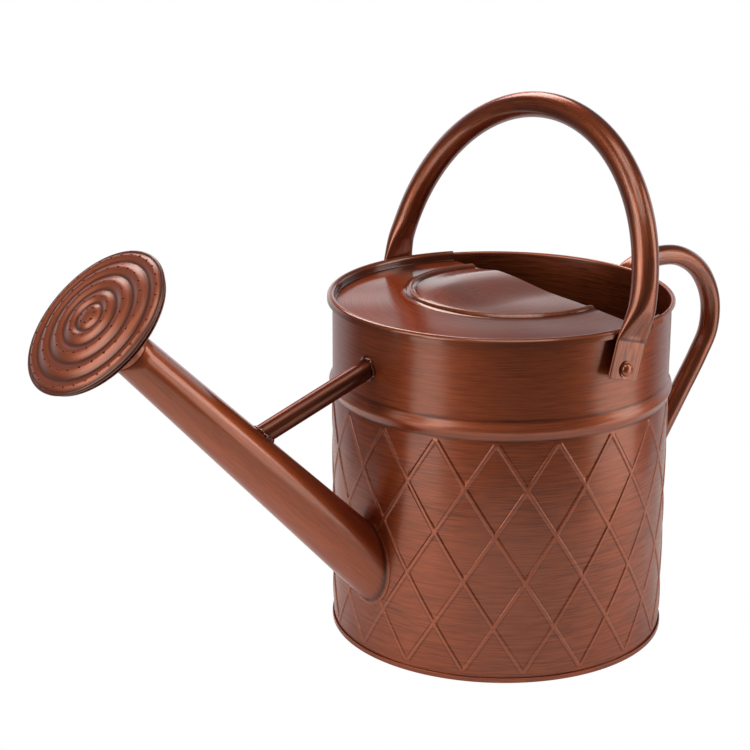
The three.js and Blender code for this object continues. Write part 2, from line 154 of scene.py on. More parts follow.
# centre line of the rear handle: distance behind the can's axis, height, roundness of the tube
REAR_ROUTE = (
    (96.35, 168, 0), (96.5, 185, 0), (98.8, 190.2, 0.1), (104.2, 193.9, 0.45), (119, 196.6, 1),
    (141, 194.4, 1), (160, 182.6, 1), (170.8, 163.5, 1), (170.9, 144.2, 1), (162.5, 128.5, 1),
    (147.6, 107.2, 1), (128, 79.2, 1), (103, 43.2, 0.5), (96.6, 30, 0), (96.35, 16, 0),
)

RIVET_HEAD_R = 4.6
RIVET_HEAD_UP = 2.5
RIVET_SHANK_R = 2.3
RIVET_HOLE_R = 2.7
RIVET_TAIL_R, RIVET_TAIL_UP = 3.8, 1.6  # its hammered end, inside the can

# size of the brushed grain: long along the strokes, fine across them
GRAIN_LONG = 17.0
GRAIN_FINE = 0.5


# ---------- small helpers
def smoothstep(value):
    t = np.clip(value, 0, 1)
    return t * t * (3 - 2 * t)


def bell(offset, width):
    """1 at no offset, falling smoothly to nearly nothing at two widths."""
    return np.exp(-((offset / width) ** 2))


def unit(vector):
    return vector / np.linalg.norm(vector)


def unit_rows(vectors):
    return vectors / np.linalg.norm(vectors, axis=1)[:, None]


def full_turn(steps):
    """Angles evenly round a circle."""
    return np.linspace(0, 2 * math.pi, steps, endpoint=False)


def from_can(points):
    """Distance of each point from the can's axis."""
    return np.hypot(points[:, 0], points[:, 1])


def joined(rows, parts):
    """Rows of several parts each, joined part by part."""
    return (np.concatenate([row[i] for row in rows]) for i in range(parts))


def arc(centre, radius, start, end, steps):
    """Points on an arc, from one angle to another in degrees."""
    angles = np.radians(np.linspace(start, end, steps + 1))
    return [(centre[0] + radius * math.cos(a), centre[1] + radius * math.sin(a)) for a in angles]


def rounded(corners, steps=4):
    """A closed outline through (x, y, radius) corners, each rounded with its own radius."""
    outline = []
    count = len(corners)
    for i, (x, y, radius) in enumerate(corners):
        here = np.array((x, y), float)
        if radius == 0:
            outline.append(here)
            continue
        before = unit(np.array(corners[i - 1][:2]) - here)
        after = unit(np.array(corners[(i + 1) % count][:2]) - here)
        for t in np.linspace(0, 1, steps + 1):
            start, end = here + before * radius, here + after * radius
            outline.append((1 - t) ** 2 * start + 2 * t * (1 - t) * here + t**2 * end)
    return outline


def grid_faces(rows, columns, close_rows, close_columns):
    """Quads between neighbouring points of a grid, whose points are numbered row by row."""
    faces = []
    for i in range(rows if close_rows else rows - 1):
        below, above = i * columns, (i + 1) % rows * columns
        for j in range(columns if close_columns else columns - 1):
            k = (j + 1) % columns
            faces.append((below + j, below + k, above + k, above + j))
    return faces


def end_faces(rows, columns):
    """Quads that close both ends of a folded sheet, whose rows go up one side and back down the
    other."""
    faces = []
    for end in (0, columns - 1):
        for i in range(rows // 2 - 1):
            here, back = i * columns + end, (rows - 1 - i) * columns + end
            faces.append((here, here + columns, back - columns, back))
    return faces


def prism_faces(sides, first=0):
    """Faces of a closed prism between two rings of points, numbered on from first."""
    faces = [tuple(first + k for k in face) for face in grid_faces(2, sides, False, True)]
    ring = range(first, first + sides)
    return faces + [tuple(ring), tuple(k + sides for k in ring)]


def sheet_sides(middle):
    """Outlines of both sides of a bent sheet, given the outline of its middle."""
    rise = np.gradient(middle, axis=0)
    half = unit_rows(np.column_stack((-rise[:, 1], rise[:, 0]))) * SHEET / 2
    return middle + half, middle - half


def make_mesh(name, points, faces):
    mesh = bpy.data.meshes.new(name)
    mesh.from_pydata((np.asarray(points) * MM).tolist(), [], faces)
    return mesh


def make_object(name, data):
    made = bpy.data.objects.new(name, data)
    bpy.context.scene.collection.objects.link(made)
    return made


def turn_faces_out(mesh):
    """Merges points that meet and turns every face outward."""
    shape = bmesh.new()
    shape.from_mesh(mesh)
    bmesh.ops.remove_doubles(shape, verts=shape.verts, dist=2e-6)
    bmesh.ops.recalc_face_normals(shape, faces=shape.faces)
    shape.to_mesh(mesh)
    shape.free()


def add_piece(name, body, slot, material, points, faces, grain, wear_and_painted_light=0.0, sharp=35, stands_for=()):
    """A closed mesh as a piece of the can. grain places the brushed texture, in its own units, and
    the wear and painted light value, one for all points or one for each point, runs from -1, dark,
    for patina in a recess and for painted shade, to 1, light, for a polished edge and for a painted
    highlight."""
    mesh = make_mesh(name, points, faces)
    wear_and_painted_light = np.broadcast_to(wear_and_painted_light, len(points))
    for layer, kind, key, values in (("grain", "FLOAT_VECTOR", "vector", grain),
                                     ("wear_and_painted_light", "FLOAT", "value", wear_and_painted_light)):
        values = np.array(values, np.float32).ravel()
        mesh.attributes.new(layer, kind, "POINT").data.foreach_set(key, values)
    turn_faces_out(mesh)
    mesh.shade_smooth()
    mesh.set_sharp_from_angle(angle=math.radians(sharp))
    mesh.materials.append(material)
    piece = make_object(name, mesh)
    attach(piece, body)
    if stands_for:
        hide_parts(*stands_for)
    return piece


def frame_along(axis):
    """Two unit directions across an axis. The axis lies in the XZ plane, or else along Y."""
    if abs(axis[1]) > 0.5:
        return np.array((1.0, 0, 0)), np.array((0, 0, 1.0))
    side = np.array((0.0, 1.0, 0.0))
    return np.cross(axis, side), side


def spokes(axis, angles):
    """Unit directions across an axis, at angles round it."""
    across, side = frame_along(axis)
    return np.outer(np.cos(angles), across) + np.outer(np.sin(angles), side)


def turned_points(profile, steps, start=(0, 0, 0), axis=(0, 0, 1)):
    """Points of a profile of (radius, height) turned round an axis, row by row."""
    axis = np.asarray(axis, float)
    ring = spokes(axis, full_turn(steps))
    return np.concatenate([np.asarray(start) + axis * height + ring * radius
                           for radius, height in profile])


def add_turned(name, body, slot, material, profile, steps, start=(0, 0, 0), axis=(0, 0, 1),
               closed=True, along=False, wear_and_painted_light=0.0, **options):
    """A piece turned round an axis. Its grain runs round it, or along it for a tube."""
    points = turned_points(profile, steps, start, axis)
    angles = full_turn(steps)
    radius, height = (np.array(values, float)[:, None] for values in zip(*profile))
    across = radius * np.cos(angles), radius * np.sin(angles)
    if along:
        grain = (np.repeat(height / GRAIN_LONG, steps, 1), *(part / GRAIN_FINE for part in across))
    else:
        around = (part / GRAIN_LONG for part in across)
        grain = (*around, np.repeat((height + radius) / GRAIN_FINE, steps, 1))
    grain = np.stack(grain, -1).reshape(-1, 3)
    values = np.repeat(np.broadcast_to(wear_and_painted_light, len(profile)), steps)
    faces = grid_faces(len(profile), steps, closed, True)
    return add_piece(name, body, slot, material, points, faces, grain, values, **options)


# ---------- materials
class Nodes:
    """Short ways to build the node tree of a material or a world."""

    def __init__(self, owner):
        owner.use_nodes = True
        self.tree = owner.node_tree

    def feed(self, socket, value):
        """Sets a socket to a value, or links an output of another node to it."""
        if isinstance(value, bpy.types.NodeSocket):
            self.tree.links.new(value, socket)
        else:
            socket.default_value = value

    def add(self, kind, **values):
        """A node with its options and inputs, given in the order in which they are set."""
        made = self.tree.nodes.new(kind)
        for key, value in values.items():
            if key in made.inputs:
                self.feed(made.inputs[key], value)
            else:
                setattr(made, key, value)
        return made

    def maths(self, operation, first, second, clamp=False):
        made = self.add("ShaderNodeMath", operation=operation, use_clamp=clamp)
        self.feed(made.inputs[0], first)
        self.feed(made.inputs[1], second)
        return made.outputs[0]

    def times(self, first, second):
        return self.maths("MULTIPLY", first, second)

    def ramp(self, value, low, high, low_to=0.0, high_to=1.0):
        """A value's smooth step from one level to another."""
        limits = {"From Min": low, "From Max": high, "To Min": low_to, "To Max": high_to}
        made = self.add("ShaderNodeMapRange", interpolation_type="SMOOTHSTEP", Value=value,
                        **limits)
        return made.outputs["Result"]

    def noise(self, vector, scale, detail, rough):
        made = self.add("ShaderNodeTexNoise", Vector=vector, Scale=scale, Detail=detail,
                        Roughness=rough)
        return made.outputs["Fac"]


LACQUER_IOR = 1.6
BUMP_UP = 0.00006  # metres
EDGE_TINT = (0.45, 0.2, 0.12)  # the copper stays brown even at a glancing angle
COPPER = (0.38, 0.084, 0.025)
COPPER_BRIGHT = (0.365, 0.084, 0.029)
COPPER_DULL = (0.27, 0.070, 0.028)
COPPER_DEEP = (0.33, 0.078, 0.026)
COPPER_PINK = (0.36, 0.088, 0.032)
COPPER_BROWN = (0.17, 0.042, 0.017)
PATINA = (0.07, 0.013, 0.005)
PATINA_GREY = (0.08, 0.020, 0.010)
PATINA_WARM = (0.13, 0.030, 0.012)


def antique_copper(name, bright, dark, roughness=0.55, streaks=1.0, anisotropy=0.0, patina=0.5,
                   gloss=0.12, lacquer=1.0):
    """Brushed copper plate, darkened with age: fine dark strokes along the grain, cloudy patches,
    dark recesses and polished edges, under a thin clear lacquer. The same darkening and lightening
    also paints shade and highlights where a piece asks for them. gloss is the roughness of the
    lacquer."""
    material = bpy.data.materials.new(name)
    nodes = Nodes(material)
    times, ramp = nodes.times, nodes.ramp

    def plus(first, second):
        return nodes.maths("ADD", first, second, clamp=True)

    grain = nodes.add("ShaderNodeAttribute", attribute_name="grain").outputs["Vector"]
    wear_and_painted_light = nodes.add("ShaderNodeAttribute", attribute_name="wear_and_painted_light").outputs["Fac"]
    place = nodes.add("ShaderNodeTexCoord").outputs["Object"]

    stroke = nodes.noise(grain, 1.0, 4.0, 0.62)
    broad_stroke = nodes.noise(grain, 0.23, 3.0, 0.55)
    cloud = nodes.noise(place, 26.0, 3.0, 0.55)
    strokes = times(ramp(stroke, 0.36, 0.66), ramp(cloud, 0.25, 0.7, 0.6, 1.0))
    bands = times(ramp(broad_stroke, 0.42, 0.75), 0.22)
    tone_marks = times(plus(strokes, bands), streaks)
    # darker for patina in recesses and for painted shade
    recess = ramp(wear_and_painted_light, -0.15, -1.0, 0.0, 0.9)
    darkness = plus(times(tone_marks, patina), recess)
    # lighter for polished edges and for painted highlights
    edge = ramp(wear_and_painted_light, 0.1, 1.0, 0.0, 0.55)

    tone = nodes.add("ShaderNodeMix", data_type="RGBA", A=(*bright, 1), B=(*dark, 1),
                     Factor=darkness)
    polish_and_highlight = [min(1.0, 1.35 * part + 0.04) for part in bright]
    colour = nodes.add("ShaderNodeMix", data_type="RGBA", A=tone.outputs["Result"],
                       B=(*polish_and_highlight, 1), Factor=edge)
    rough = plus(times(stroke, 0.14), times(darkness, 0.12))
    relief = plus(times(stroke, 0.6), times(cloud, 0.4))
    bump = nodes.add("ShaderNodeBump", Strength=0.3, Distance=BUMP_UP, Height=relief)
    settings = {
        "Base Color": colour.outputs["Result"],
        "Metallic": 1.0,
        "Roughness": plus(rough, roughness - 0.08),
        "Specular Tint": (*EDGE_TINT, 1),
        "Normal": bump.outputs["Normal"],
        "Coat Normal": bump.outputs["Normal"],
        "Coat Weight": lacquer,
        "Coat Roughness": gloss,
        "Coat IOR": LACQUER_IOR,
    }
    if anisotropy:
        round_way = nodes.add("ShaderNodeTangent", direction_type="RADIAL", axis="Z")
        settings |= {"Anisotropic": anisotropy, "Anisotropic Rotation": 0.25,
                     "Tangent": round_way.outputs["Tangent"]}
    shader = nodes.tree.nodes["Principled BSDF"]
    for key, value in settings.items():
        nodes.feed(shader.inputs[key], value)
    return material


body_copper = antique_copper("body_copper", COPPER, PATINA, anisotropy=0.3, patina=0.55, gloss=0.25)
base_copper = antique_copper("base_copper", COPPER, PATINA)
cover_copper = antique_copper("cover_copper", COPPER_DULL, PATINA_GREY, 0.5, 0.9, gloss=0.15)
spout_copper = antique_copper("spout_copper", COPPER, PATINA, 0.5, 0.45, gloss=0.15)
brace_copper = antique_copper("brace_copper", COPPER_BROWN, PATINA, 0.4, 1.3, patina=0.7, gloss=0.2,
                              lacquer=0.45)
rose_copper = antique_copper("rose_copper", COPPER_BRIGHT, PATINA_WARM, 0.55, 0.9, gloss=0.34)
handle_copper = antique_copper("handle_copper", COPPER_DEEP, PATINA, 0.42, 1.2, patina=0.7,
                               gloss=0.2)
rivet_copper = antique_copper("rivet_copper", COPPER_PINK, PATINA, 0.4, 0.4)
washer_copper = antique_copper("washer_copper", COPPER_BROWN, PATINA)
solder_copper = antique_copper("solder_copper", COPPER_BROWN, PATINA_GREY, 0.35, 0.8)


# ---------- wall with its lattice
def ridge_spread(height):
    """How far the ridges stand from their corners' angle at a height: 0 to half a pitch."""
    steps = (LATTICE_TOP - np.clip(height, LATTICE_LOW, LATTICE_TOP)) / LATTICE_STEP
    phase = steps % 2
    return PITCH / 2 * np.minimum(phase, 2 - phase)


def columns_between(width):
    """Distances at which mesh columns run from one ridge to the next, in degrees."""
    close = np.array(RIDGE_COLUMNS) / (BODY_R * math.pi / 180)
    close = np.minimum(close, width * np.arange(len(close)) / GAP_COLUMNS)
    far_count = GAP_COLUMNS - len(close)
    middle = np.linspace(close[-1], width - close[-1], far_count - len(close) + 3)[1:-1]
    return np.concatenate((close, middle, width - close[:0:-1]))


def wall_columns(height):
    """Angles of the mesh columns at a height. In the lattice they follow its ridges, so that
    the ridges are crisp, and above it they even out."""
    least = 0.6  # columns never close up quite to a crossing
    spread = float(np.clip(ridge_spread(height), least, PITCH / 2 - least))
    one = columns_between(2 * spread) - spread
    other = columns_between(PITCH - 2 * spread) + spread
    followed = np.concatenate((one, other))
    even = np.linspace(0, PITCH, 2 * GAP_COLUMNS, endpoint=False) - PITCH / 4
    relax = smoothstep((height - LATTICE_TOP) / 6)
    one_pitch = (1 - relax) * followed + relax * even
    return np.concatenate([one_pitch + LATTICE_PHASE + PITCH * k for k in range(LATTICE_ROUND)])


def lattice(angles, height):
    """How far the wall stands out at each angle, and how its colour is marked there: lighter on the
    ridges' worn crests, darker at their feet, as patina and as painted shade.
    """
    lean = PITCH / 2 * (LATTICE_TOP - height) / LATTICE_STEP
    half_wide = math.radians(PITCH / 2) * BODY_R
    slope = math.cos(math.atan(half_wide / LATTICE_STEP))
    crests, cushions, distances = [], [], []
    for way in (1, -1):
        offset = (angles - LATTICE_PHASE - way * lean + PITCH / 2) % PITCH - PITCH / 2
        distance = np.abs(offset) * math.pi / 180 * BODY_R * slope
        crests.append(smoothstep((RIDGE_HALF - distance) / RIDGE_SIDE))
        cushions.append(np.sin(np.abs(offset) / PITCH * math.pi))
        distances.append(distance)
    border = 0.8  # the pattern fades in over this height
    inside = (smoothstep((height - LATTICE_LOW) / border)
              * smoothstep((LATTICE_TOP - height) / border))
    crest = 1 - (1 - crests[0]) * (1 - crests[1])
    # the ridges' feet are painted darker: patina, and painted shade beside each ridge
    foot = bell(np.minimum(*distances) - RIDGE_HALF, 0.4)
    out = RIDGE_UP * crest + PILLOW_UP * cushions[0] * cushions[1]
    return inside * out, inside * (0.6 * crest - 0.7 * foot)


def wall_rows():
    """Heights of the wall's mesh rows up to the rim, closer together where ridges cross."""
    rows = [BODY_BOTTOM, LATTICE_LOW - 2]
    near, far = 2.75, 4.4  # from a crossing: last of its close rows, first of the wide ones
    for k in range(LATTICE_ROWS + 1):
        corner = LATTICE_LOW + k * LATTICE_STEP
        rows += list(corner + np.linspace(-near, near, 11))
        if k < LATTICE_ROWS:
            rows += list(np.linspace(corner + far, corner + LATTICE_STEP - far, 11))
    rows += list(np.linspace(BEAD_Z - BEAD_HALF + 1.5, BEAD_Z + BEAD_HALF, 14))
    rows += list(np.linspace(BEAD_Z + BEAD_HALF + 3, RIM_Z, 9))
    return sorted(rows)


def bead(height):
    """How far the bead stands out at a height, from 0 to 1."""
    return math.cos(np.clip((height - BEAD_Z) / BEAD_HALF, -1, 1) * math.pi / 2) ** 2


def wall_waves(angles, height):
    """The faint unevenness of sheet rolled by hand."""
    turn = np.radians(angles)
    waves = 0.05 * np.sin(3 * turn + height / 31 + 0.7) + 0.04 * np.sin(7 * turn - height / 23)
    fade = smoothstep((height - BODY_BOTTOM) / 12) * smoothstep((RIM_Z - height) / 12)
    return waves * fade


def inner_rows():
    low, high = BEAD_Z - BEAD_HALF, BEAD_Z + BEAD_HALF
    return [*np.linspace(BODY_BOTTOM, low - 1, 9), *np.linspace(low, high, 9),
            *np.linspace(high + 3, RIM_Z, 5)]


def make_wall():
    even = wall_columns(RIM_Z)

    def plain_row(radius, height, tone_marks):
        return even, *(np.full_like(even, value) for value in (radius, height, tone_marks))

    inner = [plain_row(BODY_R - SHEET + BEAD_OUT * bead(height), height, INSIDE_SHADE)
             for height in inner_rows()]
    curl = arc((RIM_R, RIM_Z), RIM_CURL_R, 180, -110, 12)[1:]
    curl += arc((RIM_R, RIM_Z), RIM_CURL_R - SHEET, -110, 170, 8)
    rim = [plain_row(radius, height, RIM_WEAR) for radius, height in curl]
    outer = []
    for height in wall_rows():
        angles = wall_columns(height)
        pressed, tone_marks = lattice(angles, height)
        radius = BODY_R + BEAD_OUT * bead(height) + pressed + wall_waves(angles, height)
        # the bead's crest is painted lighter, as polish and as a painted highlight, and the creases
        # along its edges darker, as painted shade
        bead_edge = bell(abs(height - BEAD_Z) - BEAD_HALF, 1.2)
        tone_marks = tone_marks + 0.6 * bead(height) ** 2 - 0.6 * bead_edge
        outer.append((angles, radius, np.full_like(radius, height), tone_marks))
    # up the inside, over the curl, and down the outside
    loop = inner + rim + outer[::-1]
    angles, radius, height, wear_and_painted_light = joined(loop, 4)
    turn = np.radians(angles)
    points = np.stack((radius * np.cos(turn), radius * np.sin(turn), height), 1)
    grain = points / (GRAIN_LONG, GRAIN_LONG, GRAIN_FINE)
    faces = grid_faces(len(loop), len(even), True, True)
    return add_piece("wall", "can", "body", body_copper, points, faces, grain, wear_and_painted_light, sharp=50,
                     stands_for=["body_shell"])


def cut(piece, cutter):
    """Takes a cutter out of a piece."""
    step = piece.modifiers.new("cut", "BOOLEAN")
    step.object = cutter
    step.solver = "EXACT"
    bpy.context.view_layer.update()
    graph = bpy.context.evaluated_depsgraph_get()
    result = bpy.data.meshes.new_from_object(piece.evaluated_get(graph))
    piece.modifiers.clear()
    old = piece.data
    piece.data = result
    bpy.data.meshes.remove(old)
    bpy.data.objects.remove(cutter)


def cutter_mesh(points, faces):
    mesh = make_mesh("cutter", points, faces)
    turn_faces_out(mesh)
    return make_object("cutter", mesh)


def make_base():
    edge = BODY_R + GAP
    outside, _, edge_top = node_box("base_plate")[1]
    rib = ((60, 0), (62.5, 1.5), (77.5, 1.5), (80, 0))  # pressed upward: radius, height
    corners = [(0, 0, 0), *((r, z, 1.0) for r, z in rib), (outside, 0, 0.5),
               (outside, edge_top, 0.25), (edge, edge_top, 0.25), (edge, SHEET, 0.3),
               *((r, z + SHEET, 1.0) for r, z in rib[::-1]), (0, SHEET, 0)]
    add_turned("base", "can", "base", base_copper, rounded(corners), 192,
               closed=False, stands_for=["base_plate"])


# ---------- cover
def cover_height(x, y):
    """Height of the cover's upper face: a slight crown, a rounded border and a domed panel."""
    from_axis = np.hypot(x, y)
    from_panel = np.hypot(x - PANEL[0], y - PANEL[1])
    border = BORDER_UP * np.cos(np.clip((from_panel - PANEL_R) / BORDER_HALF, -1, 1)
                                * math.pi / 2)
    border -= BORDER_GROOVE * bell(from_panel - PANEL_R + 0.3, 0.7)
    dome = PANEL_DOME_UP * smoothstep((PANEL_R - BORDER_HALF - from_panel) / PANEL_FLANK)
    dome = dome * smoothstep((DOME_TO - y) / (DOME_TO - DOME_FROM))
    crown = CROWN_UP * (1 - (from_axis / BODY_R) ** 2)
    waves = COVER_WAVE_UP * np.sin(x / 9 + 1) * np.sin(y / 11 - x / 30)
    return COVER_TOP + border + dome + crown + waves


def reach(start, ways, centre, radius):
    """Distance from a start inside a circle to the circle, along each direction."""
    off = start - centre
    along = ways @ off
    return -along + np.sqrt(along**2 - off @ off + radius**2)


def make_cover():
    """The cover is swept as a fan of sections about a point on its straight edge: across the
    panel and its border, up the lip, over the rolled rim, and back along the underside."""
    edge = np.array((math.sin(CHORD_TURN), math.cos(CHORD_TURN)))
    forward = np.array((math.cos(CHORD_TURN), -math.sin(CHORD_TURN)))
    start = np.array((CHORD_X + PANEL[1] * math.tan(CHORD_TURN), PANEL[1]))
    turn = np.radians(np.linspace(-90, 90, 181))
    ways = np.outer(np.cos(turn), forward) + np.outer(np.sin(turn), edge)

    origin = np.zeros(2)
    lip_r = RIM_R - FOLD_R
    foot = 1.0  # radius of the bend at the lip's foot
    flat_z = COVER_TOP - SHEET / 2
    lip = np.array([*arc((lip_r - foot, flat_z + foot), foot, -90, 0, 5),
                    *arc((RIM_R, RIM_Z), FOLD_R, 180, 0, 16),
                    (RIM_R + FOLD_R, RIM_Z - 0.9), (RIM_R + FOLD_R, RIM_Z - FOLD_DOWN)])

    inner_edge = reach(start, ways, PANEL, PANEL_R - BORDER_HALF)
    outer_edge = reach(start, ways, PANEL, PANEL_R + BORDER_HALF)
    flat_edge = reach(start, ways, origin, lip[0][0])
    spans = [inner_edge * part for part in np.linspace(0, 1, 26)]
    border_radii = PANEL_R + BORDER_HALF * np.linspace(-1, 1, 21)[1:]
    spans += [reach(start, ways, PANEL, radius) for radius in border_radii]
    spans += [outer_edge + (flat_edge - outer_edge) * part for part in np.linspace(0, 1, 13)[1:-1]]

    upper, lower = [], []
    for span in spans:
        place = start + ways * span[:, None]
        height = cover_height(*place.T)
        upper.append(np.column_stack((place, height)))
        lower.append(np.column_stack((place, height - SHEET)))
    round_way = unit_rows(start + ways * flat_edge[:, None])
    for skin, outline in zip((upper, lower), sheet_sides(lip)):
        for radius, height in outline:
            skin.append(np.column_stack((round_way * radius, np.full(len(turn), height))))

    loop = np.array(upper + lower[::-1])
    rows, columns = len(loop), len(turn)
    faces = grid_faces(rows, columns, True, False) + end_faces(rows, columns)
    points = loop.reshape(-1, 3)
    from_axis = from_can(points)
    from_border = np.abs(np.hypot(points[:, 0] - PANEL[0], points[:, 1] - PANEL[1]) - PANEL_R)
    recess = np.maximum(bell(from_border - BORDER_HALF, 1.0), bell(from_axis - lip_r + 0.6, 0.8))
    crest = bell(from_border, 1.2)
    around = points[:, :2] / from_axis[:, None] * (BODY_R / 2)
    grain = np.column_stack((around / GRAIN_LONG, (from_axis + points[:, 2]) / GRAIN_FINE))
    add_piece("cover", "can", "cover", cover_copper, points, faces, grain, crest - 0.8 * recess,
              sharp=50, stands_for=["top_cover"])


def make_fold_end():
    """On the near side the fold runs on a little past the cover's straight edge."""
    turn = np.radians(np.linspace(FOLD_END_FROM, FOLD_END_TO, 9))
    ring = np.column_stack((np.cos(turn), np.sin(turn)))
    section = [(RIM_R - FOLD_R, RIM_Z - 1.2), *arc((RIM_R, RIM_Z), FOLD_R, 180, 0, 14),
               (RIM_R + FOLD_R, RIM_Z - FOLD_DOWN)]
    upper, lower = sheet_sides(np.array(section))
    loop = np.concatenate((upper, lower[::-1]))
    rows, columns = len(loop), len(turn)
    points = np.concatenate([np.column_stack((ring * r, np.full(columns, z))) for r, z in loop])
    faces = grid_faces(rows, columns, True, False) + end_faces(rows, columns)
    grain = points / (GRAIN_LONG, GRAIN_LONG, GRAIN_FINE)
    add_piece("cover_fold_end", "can", "cover", body_copper, points, faces, grain, RIM_WEAR,
              sharp=50)


# ---------- spout and brace
def solve(inside, low, high, count):
    """For each of some columns, the distance at which a point stops being inside, by halving."""
    low, high = np.full(count, float(low)), np.full(count, float(high))
    for _ in range(40):
        middle = (low + high) / 2
        still = inside(middle)
        low, high = np.where(still, middle, low), np.where(still, high, middle)
    return (low + high) / 2


def spout_radius(along):
    """The tapered spout's outer radius at a distance from its root."""
    return SPOUT_ROOT_R - SPOUT_TAPER * along


def tube_point(start, axis, angles, along, radius):
    """Points of a tube, each at its own angle and distance along it."""
    return start + np.outer(along, axis) + spokes(axis, angles) * np.reshape(radius, (-1, 1))


def leaves_wall(start, axis, angles, radius_at, clear):
    """How far along a tube each of its lines meets the round wall."""
    def inside(along):
        return from_can(tube_point(start, axis, angles, along, radius_at(along))) < BODY_R + clear
    return solve(inside, -45, 90, len(angles))


def make_spout():
    angles = full_turn(112)
    # rows lie closer together at the flange and at the rounded tip
    shares = np.concatenate((np.linspace(0, 0.02, 6)[:-1], np.linspace(0.02, 0.997, 40), (1,)))
    flange_out, tip_round = 0.9, 0.25
    rows = []
    for inner in (0, SHEET):
        def radius_at(along, inner=inner):
            return spout_radius(along) - inner
        root = leaves_wall(SPOUT_START, SPOUT_AXIS, angles, radius_at, 0.1)
        skin = []
        for share in shares:
            along = root + (SPOUT_LENGTH - root) * share
            flange = flange_out * np.exp(-(along - root) / flange_out)
            tip = tip_round * (share == 1) * (1 if inner == 0 else -1)
            radius = radius_at(along) + flange - tip
            points = tube_point(SPOUT_START, SPOUT_AXIS, angles, along, radius)
            grain = np.column_stack((along / GRAIN_LONG, radius * np.cos(angles) / GRAIN_FINE / 2,
                                     radius * np.sin(angles) / GRAIN_FINE / 2))
            # a painted highlight along the flange at the root, and painted shade just past it
            tone_marks = np.exp(-(along - root) / 0.5) - 0.8 * bell(along - root - 3, 2.5)
            skin.append((points, grain, tone_marks))
        rows += skin if inner == 0 else skin[::-1]
    points, grain, wear_and_painted_light = joined(rows, 3)
    faces = grid_faces(len(rows), len(angles), True, True)
    add_piece("spout", "can", "spout", spout_copper, points, faces, grain, wear_and_painted_light,
              sharp=50, stands_for=["spout_tube"])


def spout_distance(points):
    """Distance of each point from the spout's axis, and how far along the axis it lies."""
    off = points - SPOUT_START
    along = off @ SPOUT_AXIS
    return np.linalg.norm(off - np.outer(along, SPOUT_AXIS), axis=1), along


def brace_line(angles, radius):
    """Where a line of the brace leaves the wall and where it meets the spout."""
    axis = np.array((math.cos(BRACE_FALL), 0, -math.sin(BRACE_FALL)))

    def outside_spout(along):
        away, reached = spout_distance(tube_point(BRACE_START, axis, angles, along, radius))
        return away > spout_radius(reached) + 0.05

    root = leaves_wall(BRACE_START, axis, angles, lambda along: radius, 0.05)
    end = solve(outside_spout, 30, 82, len(angles))
    return axis, root, end


def make_brace():
    seam = math.radians(250)  # the rolled tube's lengthwise seam, on its camera side
    # lines of the mesh lie closer together at the seam
    angles = seam + np.radians((0, 2, 4.5, *np.linspace(8, 352, 58), 355.5, 358))
    from_seam = np.abs((angles - seam + math.pi) % (2 * math.pi) - math.pi)
    groove = 0.35 * bell(from_seam, math.radians(3))
    round_grain = 12 * np.column_stack((np.cos(angles), np.sin(angles)))
    shares = np.linspace(0, 1, 24)
    rows = []
    for inner, steps in ((0, shares), (SHEET, shares[::-1])):
        radius = BRACE_R - inner - groove
        axis, root, end = brace_line(angles, radius)
        for share in steps:
            along = root + (end - root) * share
            points = tube_point(BRACE_START, axis, angles, along, radius)
            near_end = np.exp(-(along - root) / 2.5) + np.exp(-(end - along) / 3.5)
            rows.append((points, np.column_stack((along / GRAIN_LONG, round_grain)),
                         -1.5 * groove - 0.8 * near_end))
    points, grain, wear_and_painted_light = joined(rows, 3)
    faces = grid_faces(len(rows), len(angles), True, True)
    add_piece("brace", "can", "brace", brace_copper, points, faces, grain, wear_and_painted_light,
              stands_for=["spout_brace"])


def make_bead(name, path, radius, lumps, seed, slot="brace"):
    """A lumpy bead of solder along a closed path. lumps is the share by which its radius
    varies."""
    sides, lumps_per_mm = 12, 0.55
    along = unit_rows(np.roll(path, -1, 0) - np.roll(path, 1, 0))
    out = path - path.mean(0)
    out = unit_rows(out - (out * along).sum(1)[:, None] * along)
    other = np.cross(along, out)
    points, wear_and_painted_light = [], []
    for middle, away, aside in zip(path, out, other):
        for angle in full_turn(sides):
            way = away * math.cos(angle) + aside * math.sin(angle)
            place = Vector((middle + way * radius) * lumps_per_mm)
            rough = noise.noise(place + Vector((seed, 0, 0)))
            points.append(middle + way * radius * (1 + lumps * rough))
            wear_and_painted_light.append(np.clip(2.2 * rough, -1, 1))
    points = np.array(points)
    faces = grid_faces(len(path), sides, True, True)
    add_piece(name, "can", slot, solder_copper, points, faces, points / 3.0, wear_and_painted_light, sharp=60)


def make_brace_solder():
    angles = full_turn(64)
    radius = BRACE_R + 0.2
    axis, root, end = brace_line(angles, radius)
    for name, along, *bead_shape in (("wall", root + 0.3, 1.0, 0.9, 3.0),
                                     ("spout", end - 0.3, 0.95, 1.0, 9.0)):
        path = tube_point(BRACE_START, axis, angles, along, radius)
        make_bead(f"brace_solder_{name}", path, *bead_shape)
    # a blow-hole left beside the spout end: its rim follows the tube
    hole_r, dip = 1.9, 0.35
    normal = spokes(axis, math.radians(235))[0]
    tangent = np.cross(axis, normal)
    centre = BRACE_START + axis * (end.mean() - 5.5) + normal * (BRACE_R + 0.05)
    cos, sin = np.cos(full_turn(28)), np.sin(full_turn(28))
    ring = centre + hole_r * (np.outer(cos, axis) + np.outer(sin, tangent))
    make_bead("brace_blow_hole", ring - np.outer(dip * sin**2, normal), 0.55, 0.7, 5.0)


